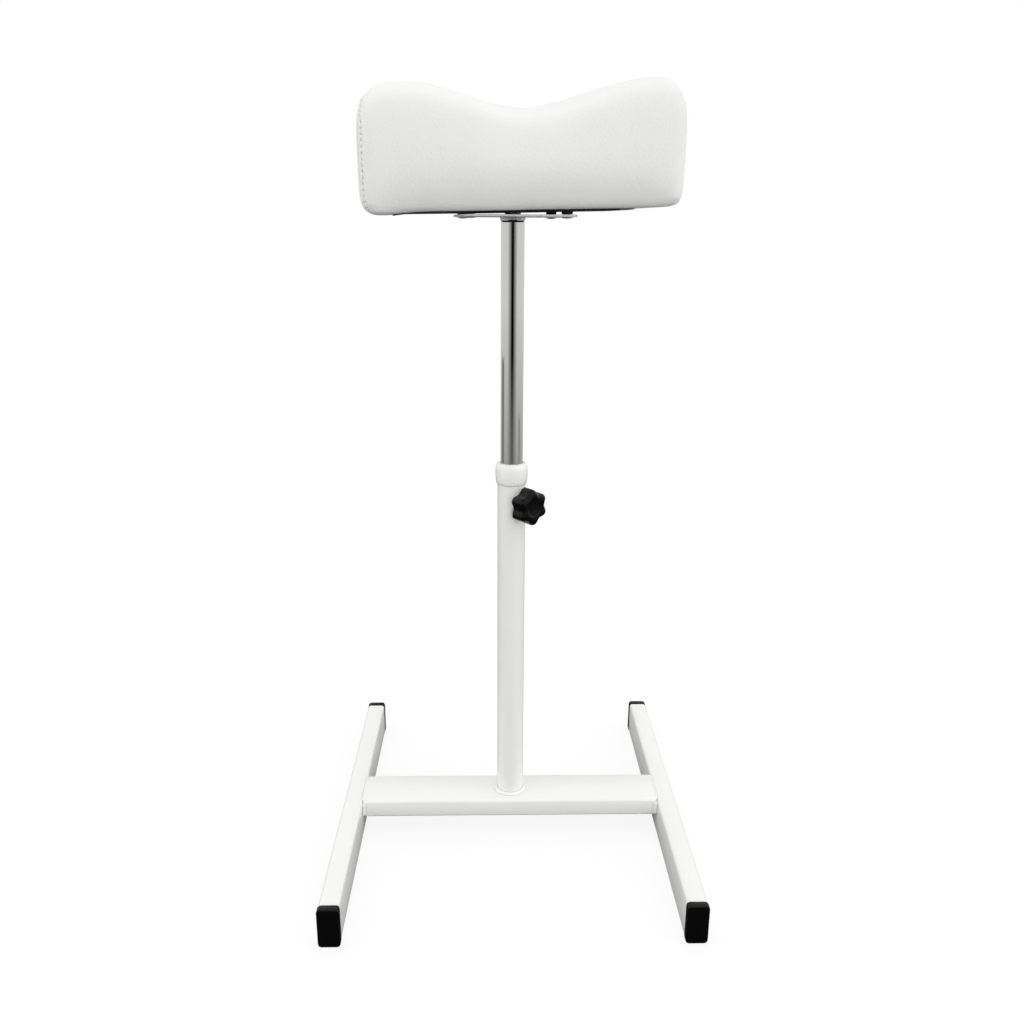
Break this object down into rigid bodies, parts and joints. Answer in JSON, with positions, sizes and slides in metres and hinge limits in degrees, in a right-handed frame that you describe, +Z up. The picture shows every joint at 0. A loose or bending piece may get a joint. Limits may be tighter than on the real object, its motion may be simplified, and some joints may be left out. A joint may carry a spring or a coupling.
{
  "type": "pedicure footrest",
  "caption": "Free-standing footrest with an H-shaped tube base, a telescopic column clamped by a star knob, and a swivelling saddle-shaped cushion.",
  "frame": {"origin": "on the floor, under the column's axis, at the middle of the base", "axes": "+Z up along the column, +X to the right, and the front towards -Y"},
  "size_m": [0.361, 0.3906, 0.7549],
  "materials": {
    "powder_coat": "white powder coat, semi-gloss",
    "white_plastic": "white, moulded",
    "black_plastic": "black, satin moulded",
    "nylon": "natural nylon",
    "chrome": "polished chrome plate",
    "zinc": "bright zinc plate",
    "black_rubber": "black, matt",
    "plywood": "raw birch plywood",
    "foam": "cut polyurethane foam",
    "leatherette": "white leatherette, fine grain",
    "dust_cloth": "black non-woven cloth"
  },
  "bodies": {
    "base": {"left_runner": "powder_coat", "right_runner": "powder_coat", "cap_front_left": "black_plastic", "cap_front_right": "black_plastic", "cap_rear_left": "black_plastic", "cap_rear_right": "black_plastic", "crossbar": "powder_coat", "weld_front_left": "powder_coat", "weld_front_right": "powder_coat", "weld_rear_left": "powder_coat", "weld_rear_right": "powder_coat", "column_tube": "powder_coat", "column_weld": "powder_coat", "guide_collar": "white_plastic", "clamp_boss": "powder_coat"},
    "clamp_shoe": {"clamp_shoe": "nylon"},
    "clamp_knob": {"star_knob": "black_plastic", "clamp_screw": "zinc"},
    "guide_ring": {"guide_ring": "white_plastic"},
    "head": {"mast_tube": "chrome", "mast_end_plug": "black_plastic", "mast_insert": "black_plastic", "plate_boss": "zinc", "top_plate": "zinc", "centre_bolt": "zinc", "plate_screw_front_left": "zinc", "plate_screw_front_right": "zinc", "plate_screw_rear_left": "zinc", "plate_screw_rear_right": "zinc", "spacer_front_left": "black_rubber", "spacer_front_right": "black_rubber", "spacer_rear_left": "black_rubber", "spacer_rear_right": "black_rubber", "tee_nut_front_left": "zinc", "tee_nut_front_right": "zinc", "tee_nut_rear_left": "zinc", "tee_nut_rear_right": "zinc", "dust_cover": "dust_cloth", "cushion_board": "plywood", "cushion_foam": "foam", "cushion_cover": "leatherette"}
  },
  "joints": [
    {"name": "shoe_slide", "type": "slide", "parent": "base", "child": "clamp_shoe", "axis": [0.6428, -0.766, 0], "range_m": [0, 0.00187]},
    {"name": "knob_turn", "type": "hinge", "parent": "clamp_shoe", "child": "clamp_knob", "pos_m": [0, 0, 0.372], "axis": [0.6428, -0.766, 0], "range_deg": [0, 540]},
    {"name": "height_slide", "type": "slide", "parent": "base", "child": "guide_ring", "axis": [0, 0, 1], "range_m": [-0.22, 0.03]},
    {"name": "head_swivel", "type": "hinge", "parent": "guide_ring", "child": "head", "pos_m": [0, 0, 0.2851], "axis": [0, 0, 1], "continuous": true}
  ],
  "couplings": [
    {"joint": "shoe_slide", "follows": "knob_turn", "m_per_rad": 0.0001989}
  ]
}
